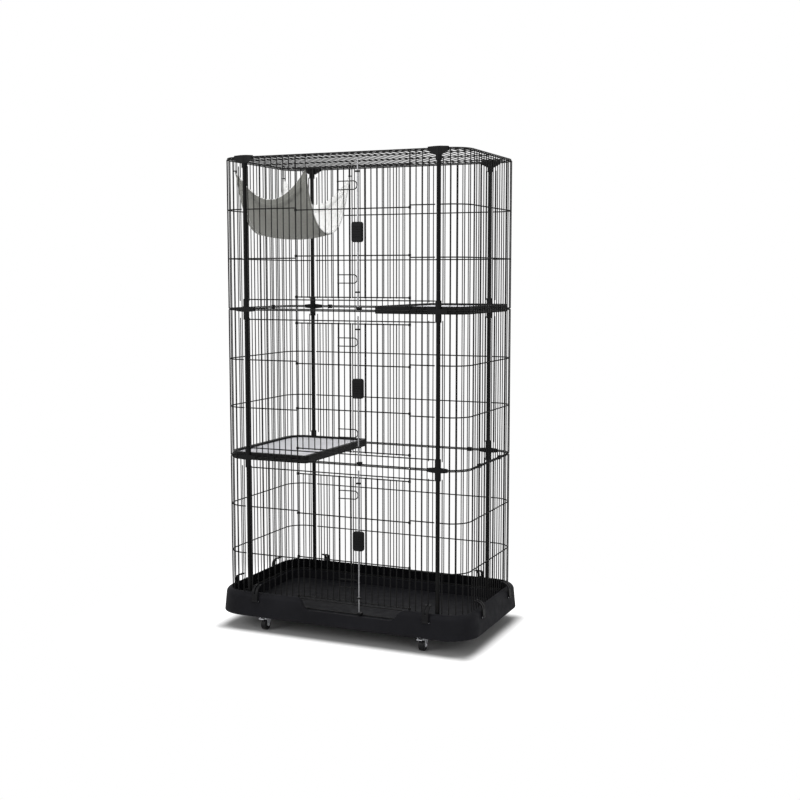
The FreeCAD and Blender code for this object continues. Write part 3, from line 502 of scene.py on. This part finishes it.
def stitch_tree(name, finish):
    """Node tree that lays a row of short threads along the edges of a mesh."""
    tree = bpy.data.node_groups.new(name, "GeometryNodeTree")
    tree.interface.new_socket("Seam", in_out="INPUT", socket_type="NodeSocketGeometry")
    pitch = tree.interface.new_socket("Stitch pitch", in_out="INPUT", socket_type="NodeSocketFloat")
    radius = tree.interface.new_socket("Thread radius", in_out="INPUT", socket_type="NodeSocketFloat")
    tree.interface.new_socket("Stitches", in_out="OUTPUT", socket_type="NodeSocketGeometry")
    inlet = tree.nodes.new("NodeGroupInput")
    seam = tree.nodes.new("GeometryNodeMeshToCurve")
    spaced = tree.nodes.new("GeometryNodeCurveToPoints")
    spaced.mode = "LENGTH"
    thread = tree.nodes.new("GeometryNodeMeshUVSphere")
    thread.inputs["Segments"].default_value = 6
    thread.inputs["Rings"].default_value = 5
    smooth = tree.nodes.new("GeometryNodeSetShadeSmooth")
    spread = tree.nodes.new("GeometryNodeInstanceOnPoints")
    spread.inputs["Scale"].default_value = (1.0, 1.0, stitch_stretch)
    joined = tree.nodes.new("GeometryNodeRealizeInstances")
    coat = tree.nodes.new("GeometryNodeSetMaterial")
    coat.inputs["Material"].default_value = finish
    outlet = tree.nodes.new("NodeGroupOutput")
    tree.links.new(inlet.outputs["Seam"], seam.inputs["Mesh"])
    tree.links.new(seam.outputs["Curve"], spaced.inputs["Curve"])
    tree.links.new(inlet.outputs["Stitch pitch"], spaced.inputs["Length"])
    tree.links.new(inlet.outputs["Thread radius"], thread.inputs["Radius"])
    tree.links.new(thread.outputs["Mesh"], smooth.inputs["Geometry"])
    tree.links.new(spaced.outputs["Points"], spread.inputs["Points"])
    tree.links.new(spaced.outputs["Rotation"], spread.inputs["Rotation"])
    tree.links.new(smooth.outputs["Geometry"], spread.inputs["Instance"])
    tree.links.new(spread.outputs["Instances"], joined.inputs["Geometry"])
    tree.links.new(joined.outputs["Geometry"], coat.inputs["Geometry"])
    tree.links.new(coat.outputs["Geometry"], outlet.inputs["Stitches"])
    return tree, pitch.identifier, radius.identifier


thread_dark = (0.60, 0.60, 0.58)
thread_light = (0.70, 0.70, 0.68)
thread_white = moulded(
    "thread_white", thread_dark, thread_light, smooth=0.70, rough=0.85, grain=3000.0, shine=0.2
)
last_across = across_count - 1
last_along = along_count - 1
seam_ring = [(1, across) for across in range(1, last_across)]
seam_ring += [(along, last_across) for along in range(1, last_along)]
seam_ring += [(last_along, across) for across in range(last_across, 1, -1)]
seam_ring += [(along, 1) for along in range(last_along, 1, -1)]
seam_points = []
seam_edges = []
for side in (-1, 1):
    start = len(seam_points)
    count = len(seam_ring)
    for along, across in seam_ring:
        here = along * row + across
        over = hung_points[here + 1] - hung_points[here - 1]
        down = hung_points[here + row] - hung_points[here - row]
        seam_points.append(hung_points[here] + over.cross(down).normalized() * side * hem_thickness / 2)
    seam_edges += [(start + number, start + (number + 1) % count) for number in range(count)]
stitches = new_piece("hammock_stitches", seam_points, seam_edges, [])
sewing = stitches.modifiers.new("sewing", "NODES")
sewing.node_group, pitch_input, thread_input = stitch_tree("hem_stitches", thread_white)
sewing[pitch_input] = stitch_pitch
sewing[thread_input] = stitch_r
settle(stitches)
for piece in (cloth, hem, stitches):
    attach(piece, "cage")
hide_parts("hammock")
dress(["hammock_hooks"], wire_coat)

# Studio: a plain pale floor that keeps the real shadow close to the tray and is white farther out, with a
# painted shadow near the tray, soft light all round, and the camera at the photograph's angle.
floor_half = 14.0
floor_pale = 0.92
tray_foot = (0.440, 0.245, 0.0)
shadow_width = 0.08
# Share by which the floor's colour is cut for the camera near the tray, as a painted shadow.
painted_shadow_depth = 0.4
white_from = 0.18
white_by = 0.60


def combine(tree, operation, first, second):
    """Value of two sockets put together."""
    both = tree.nodes.new("ShaderNodeMath")
    both.operation = operation
    tree.links.new(first, both.inputs[0])
    tree.links.new(second, both.inputs[1])
    return both.outputs["Value"]


floor_corners = [(-floor_half, -floor_half, 0), (floor_half, -floor_half, 0)]
floor_corners += [(floor_half, floor_half, 0), (-floor_half, floor_half, 0)]
floor = new_piece("studio_floor", floor_corners, [], [(0, 1, 2, 3)])
pale_floor_with_painted_shadow, tree, shader, place = start_finish("pale_floor_with_painted_shadow", "Object")
shader.inputs["Roughness"].default_value = 0.9
shader.inputs["Specular IOR Level"].default_value = 0.0
shader.inputs["Emission Color"].default_value = (1, 1, 1, 1)
past_foot = place
for operation, limit in (("ABSOLUTE", None), ("SUBTRACT", tray_foot), ("MAXIMUM", (0, 0, 0))):
    step = tree.nodes.new("ShaderNodeVectorMath")
    step.operation = operation
    if limit:
        step.inputs[1].default_value = limit
    tree.links.new(past_foot, step.inputs[0])
    past_foot = step.outputs["Vector"]
measure = tree.nodes.new("ShaderNodeVectorMath")
measure.operation = "LENGTH"
tree.links.new(past_foot, measure.inputs[0])
distance = measure.outputs["Value"]
camera_ray = tree.nodes.new("ShaderNodeLightPath").outputs["Is Camera Ray"]
rise = map_range(tree, distance, 0.0, shadow_width, 0.0, 1.0)
rise.interpolation_type = "SMOOTHSTEP"
glow = combine(tree, "MULTIPLY", camera_ray, rise.outputs["Result"])
tree.links.new(glow, shader.inputs["Emission Strength"])
# Painted shadow: near the tray the camera sees the floor's colour cut by a share of its pale value. Light
# that bounces off the floor still gets the full pale colour. Farther out, the camera's colour fades to
# nothing and the glow alone shows white.
painted_shadow_and_whitening = map_range(tree, distance, white_from, white_by, painted_shadow_depth, 1.0)
painted_shadow_and_whitening.interpolation_type = "SMOOTHSTEP"
painted_shadow_dimming = combine(tree, "MULTIPLY", camera_ray, painted_shadow_and_whitening.outputs["Result"])
floor_colour_with_painted_shadow = map_range(tree, painted_shadow_dimming, 0.0, 1.0, floor_pale, 0.0)
tree.links.new(floor_colour_with_painted_shadow.outputs["Result"], shader.inputs["Base Color"])
floor.data.materials.append(pale_floor_with_painted_shadow)

sky_level = 0.35
sky_white = 1.0
world = bpy.data.worlds.new("studio")
bpy.context.scene.world = world
world.use_nodes = True
sky = world.node_tree
background = sky.nodes["Background"]
background.inputs["Color"].default_value = (1, 1, 1, 1)
sky_path = sky.nodes.new("ShaderNodeLightPath")
seen = combine(sky, "MAXIMUM", sky_path.outputs["Is Camera Ray"], sky_path.outputs["Is Glossy Ray"])
seen = combine(sky, "MAXIMUM", seen, sky_path.outputs["Is Transmission Ray"])
level = map_range(sky, seen, 0.0, 1.0, sky_level, sky_white)
sky.links.new(level.outputs["Result"], background.inputs["Strength"])


def soft_light(name, place, aim, size, power):
    """Large square lamp aimed at a point."""
    lamp = bpy.data.lights.new(name, "AREA")
    lamp.size = size
    lamp.energy = power
    holder = bpy.data.objects.new(name, lamp)
    holder.location = place
    holder.rotation_euler = (Vector(aim) - Vector(place)).to_track_quat("-Z", "Y").to_euler()
    bpy.context.scene.collection.objects.link(holder)


cage_middle = (0, 0, 0.8)
soft_light("overhead", (0.0, -0.4, 4.2), cage_middle, size=3.5, power=110)
soft_light("key", (-2.4, -3.6, 2.2), cage_middle, size=2.2, power=60)
soft_light("fill", (3.4, -2.4, 1.6), cage_middle, size=2.2, power=30)

camera_tilt = 0.1030
camera_turn = 0.4132
camera_data = bpy.data.cameras.new("view")
camera_data.lens = 53.51
camera_data.sensor_width = 36.0
camera = bpy.data.objects.new("view", camera_data)
camera.location = (1.7467, -3.7272, 1.2155)
camera.rotation_euler = (math.pi / 2 - camera_tilt, 0, camera_turn)
bpy.context.scene.collection.objects.link(camera)
bpy.context.scene.camera = camera
bpy.context.scene.view_settings.view_transform = "Standard"
